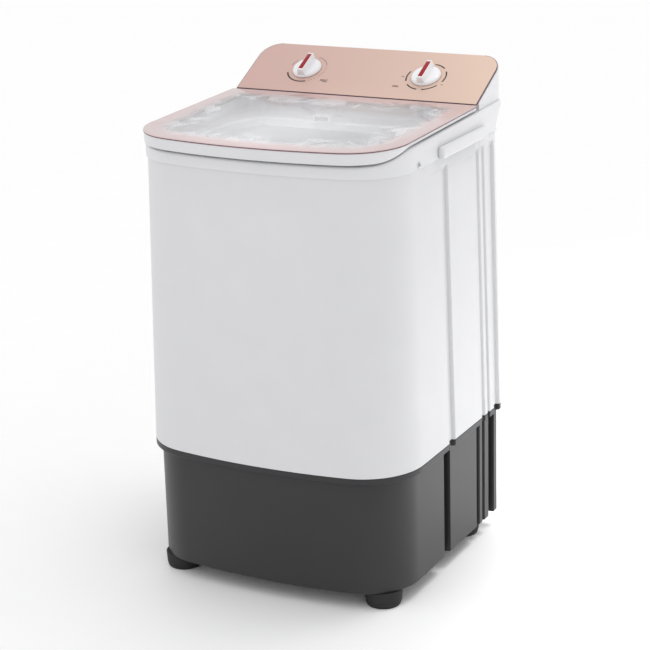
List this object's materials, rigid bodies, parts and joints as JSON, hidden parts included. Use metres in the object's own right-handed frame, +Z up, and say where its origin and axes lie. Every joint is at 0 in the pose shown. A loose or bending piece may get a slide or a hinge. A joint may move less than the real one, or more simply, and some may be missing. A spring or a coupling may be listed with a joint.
{
  "type": "portable mini washer",
  "caption": "Small upright single-tub washing machine: white cabinet on a dark base, hinged see-through lid, sloping control panel with two dials, and a belt-driven pulsator in the tub.",
  "frame": {"origin": "centre of the bounding box's underside, on the floor between the feet", "axes": "+Z up, -Y towards the front where the user stands, +X to the right seen from the front"},
  "size_m": [0.4876, 0.508, 0.8207],
  "materials": {
    "white_plastic": "moulded, low gloss",
    "tub_plastic": "moulded, smooth",
    "charcoal_plastic": "fine texture, satin",
    "grey_plastic": "moulded",
    "clear_sheet": "clear acrylic sheet with a printed border",
    "rose_fascia": "rose-gold film, satin",
    "red_plastic": "moulded",
    "rubber": "matt",
    "steel": "zinc plated",
    "cast_metal": "as cast",
    "bronze": "sintered"
  },
  "bodies": {
    "machine": {"base": "charcoal_plastic", "bearing_housing": "cast_metal", "bottom_guard": "charcoal_plastic", "cabinet": "white_plastic", "capacitor_clamp": "steel", "console_fascia": "rose_fascia", "console_housing": "white_plastic", "drain_outlet": "grey_plastic", "drain_valve_body": "grey_plastic", "drain_valve_spring": "steel", "drive_belt": "rubber", "foot_front_left": "rubber", "foot_front_right": "rubber", "foot_rear_left": "rubber", "foot_rear_right": "rubber", "hinge_pin_left": "steel", "hinge_pin_right": "steel", "inlet_hose": "rubber", "lid_pad_left": "rubber", "lid_pad_right": "rubber", "lower_bush": "bronze", "motor": "steel", "motor_bracket": "steel", "motor_capacitor": "grey_plastic", "motor_mount_1": "rubber", "motor_mount_2": "rubber", "motor_mount_3": "rubber", "rear_cover": "white_plastic", "rear_cover_screw_left_high": "steel", "rear_cover_screw_left_low": "steel", "rear_cover_screw_right_high": "steel", "rear_cover_screw_right_low": "steel", "selector_body": "grey_plastic", "shaft_seal": "rubber", "side_screw_left": "steel", "side_screw_right": "steel", "timer_body": "grey_plastic", "top_frame": "white_plastic", "tub_drain_hose": "rubber", "upper_bush": "bronze", "wash_tub": "tub_plastic", "water_inlet_port": "grey_plastic", "water_inlet_spout": "white_plastic"},
    "lid": {"lid_window": "clear_sheet", "lid_frame": "white_plastic"},
    "wash_plate": {"pulsator": "tub_plastic", "pulsator_screw": "steel", "drive_shaft": "steel", "drive_pulley": "cast_metal", "pulley_nut": "steel"},
    "motor_rotor": {"motor_shaft": "steel", "motor_pulley": "grey_plastic"},
    "timer": {"timer_knob": "white_plastic", "timer_knob_insert": "red_plastic", "timer_shaft": "steel"},
    "selector": {"selector_knob": "white_plastic", "selector_knob_insert": "red_plastic", "selector_shaft": "steel"},
    "drain_plunger": {"drain_pull_rod": "grey_plastic"},
    "filter": {"lint_filter": "grey_plastic"}
  },
  "joints": [
    {"name": "lid_hinge", "type": "hinge", "parent": "machine", "child": "lid", "pos_m": [0, 0.111, 0.75465], "axis": [-1, 0, 0], "range_deg": [0, 90]},
    {"name": "pulsator_spin", "type": "hinge", "parent": "machine", "child": "wash_plate", "pos_m": [0, -0.026, 0.285], "axis": [0, 0, 1], "continuous": true},
    {"name": "motor_spin", "type": "hinge", "parent": "machine", "child": "motor_rotor", "pos_m": [-0.07, 0.092, 0.1825], "axis": [0, 0, 1], "continuous": true},
    {"name": "timer_turn", "type": "hinge", "parent": "machine", "child": "timer", "pos_m": [-0.115, 0.17413, 0.79024], "axis": [0, 0.454, -0.891], "range_deg": [0, 300]},
    {"name": "selector_turn", "type": "hinge", "parent": "machine", "child": "selector", "pos_m": [0.109, 0.17413, 0.79024], "axis": [0, 0.454, -0.891], "range_deg": [0, 120]},
    {"name": "drain_pull", "type": "slide", "parent": "machine", "child": "drain_plunger", "axis": [0, 0, 1], "range_m": [0, 0.0168], "deforming": ["drain_valve_spring"]},
    {"name": "filter_slide", "type": "slide", "parent": "machine", "child": "filter", "axis": [0, 0, 1], "range_m": [0, 0.036]}
  ],
  "couplings": [
    {"joint": "motor_spin", "follows": "pulsator_spin", "ratio": 3.3387},
    {"joint": "drain_pull", "follows": "selector_turn", "m_per_rad": 0.008}
  ]
}
